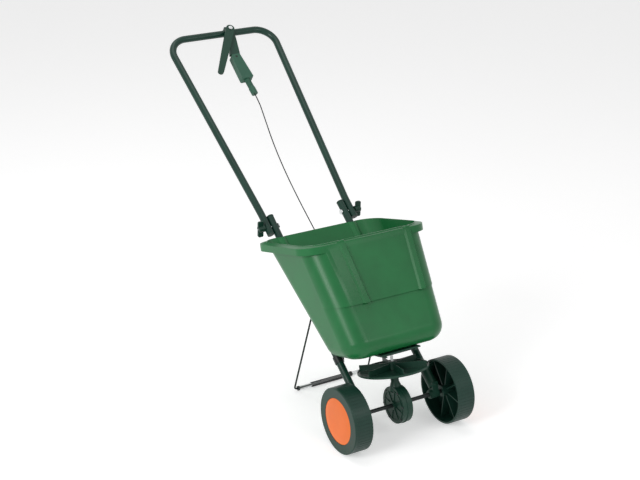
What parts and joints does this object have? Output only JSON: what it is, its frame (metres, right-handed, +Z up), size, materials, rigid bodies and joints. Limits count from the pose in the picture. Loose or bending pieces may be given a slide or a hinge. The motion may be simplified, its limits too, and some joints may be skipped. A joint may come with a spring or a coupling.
{
  "type": "broadcast spreader",
  "caption": "Walk-behind rotary spreader: tapered hopper over a geared spinner disc, two wheels, rear wire stand, folding U-shaped handle with a cable-worked shutter lever.",
  "frame": {"origin": "under the middle of the bounding box, on the ground the machine is parked on", "axes": "+Z up, +Y to the rear along the handle, the hopper's front wall faces -Y, +X across the machine along the axle"},
  "size_m": [0.391, 1.1218, 0.9057],
  "materials": {
    "hopper_green": "satin",
    "dark_plastic": "satin",
    "grey_green_plastic": "satin",
    "wheel_plastic": "matt",
    "cap_orange": "satin",
    "tube_paint": "gloss",
    "plated_steel": "bright",
    "dark_steel": "satin",
    "black_rubber": "matt",
    "cable_sheath": "satin"
  },
  "bodies": {
    "frame": {"hopper": "hopper_green", "outlet_plate": "dark_plastic", "cable_stop": "plated_steel", "outlet_screws": "plated_steel", "support_strap": "dark_steel", "axle_bushes": "dark_plastic", "tube_plugs": "dark_plastic", "hopper_bolts": "plated_steel", "leg_wire": "dark_steel", "foot_bar": "plated_steel", "foot_sleeve": "black_rubber", "gearbox_screws": "dark_steel", "shaft_bush": "dark_plastic", "fold_bolts": "plated_steel", "control_cable": "cable_sheath", "lower_tube_left": "tube_paint", "lower_tube_right": "tube_paint", "axle_bracket_left": "dark_plastic", "axle_bracket_right": "dark_plastic", "stand_brace_left": "dark_steel", "stand_brace_right": "dark_steel", "gearbox_left": "dark_plastic", "gearbox_right": "dark_plastic"},
    "axle_set": {"axle": "dark_steel", "ring_gear": "grey_green_plastic", "ring_pin": "plated_steel", "drive_wheel": "wheel_plastic", "drive_pin": "plated_steel", "wheel_cap_left": "cap_orange", "wheel_clips": "plated_steel"},
    "free_wheel": {"free_wheel": "wheel_plastic", "wheel_cap_right": "cap_orange"},
    "impeller_set": {"impeller_shaft": "plated_steel", "pinion": "grey_green_plastic", "impeller": "dark_plastic", "impeller_pin": "plated_steel", "agitator": "plated_steel"},
    "shutter": {"shutter_plate": "dark_plastic", "inner_wire": "plated_steel"},
    "upper_handle": {"upper_handle": "tube_paint", "handle_plugs": "dark_plastic", "control_bracket": "dark_plastic", "control_box_front": "grey_green_plastic", "control_box_back": "grey_green_plastic", "box_screw": "dark_steel", "cable_neck": "grey_green_plastic", "lever_bolt": "plated_steel", "lever_nut": "plated_steel"},
    "control_lever": {"control_lever": "dark_plastic"},
    "knob_left": {"knob_left": "dark_plastic"},
    "knob_right": {"knob_right": "dark_plastic"}
  },
  "joints": [
    {"name": "axle_spin", "type": "hinge", "parent": "frame", "child": "axle_set", "pos_m": [0, -0.4709, 0.09], "axis": [1, 0, 0], "continuous": true},
    {"name": "free_wheel_spin", "type": "hinge", "parent": "frame", "child": "free_wheel", "pos_m": [0, -0.4709, 0.09], "axis": [1, 0, 0], "continuous": true},
    {"name": "impeller_spin", "type": "hinge", "parent": "frame", "child": "impeller_set", "pos_m": [0, -0.4709, 0.09], "axis": [0, 0.2798, 0.96], "continuous": true},
    {"name": "handle_fold", "type": "hinge", "parent": "frame", "child": "upper_handle", "pos_m": [0, -0.00517, 0.46333], "axis": [1, 0, 0], "range_deg": [0, 115]},
    {"name": "lever_squeeze", "type": "hinge", "parent": "upper_handle", "child": "control_lever", "pos_m": [0.031, 0.54065, 0.87839], "axis": [0, -0.6053, 0.796], "range_deg": [0, 20], "stiffness_Nm_per_rad": 0.8, "springref_deg": -20.05},
    {"name": "shutter_slide", "type": "slide", "parent": "frame", "child": "shutter", "axis": [0, 0.96, -0.2798], "range_m": [0, 0.0205]},
    {"name": "knob_left_turn", "type": "hinge", "parent": "frame", "child": "knob_left", "pos_m": [-0.1468, -0.00517, 0.46333], "axis": [1, 0, 0], "continuous": true},
    {"name": "knob_right_turn", "type": "hinge", "parent": "frame", "child": "knob_right", "pos_m": [0.1468, -0.00517, 0.46333], "axis": [1, 0, 0], "continuous": true}
  ],
  "couplings": [
    {"joint": "impeller_spin", "follows": "axle_spin", "ratio": -5},
    {"joint": "shutter_slide", "follows": "lever_squeeze", "m_per_rad": 0.057296}
  ]
}
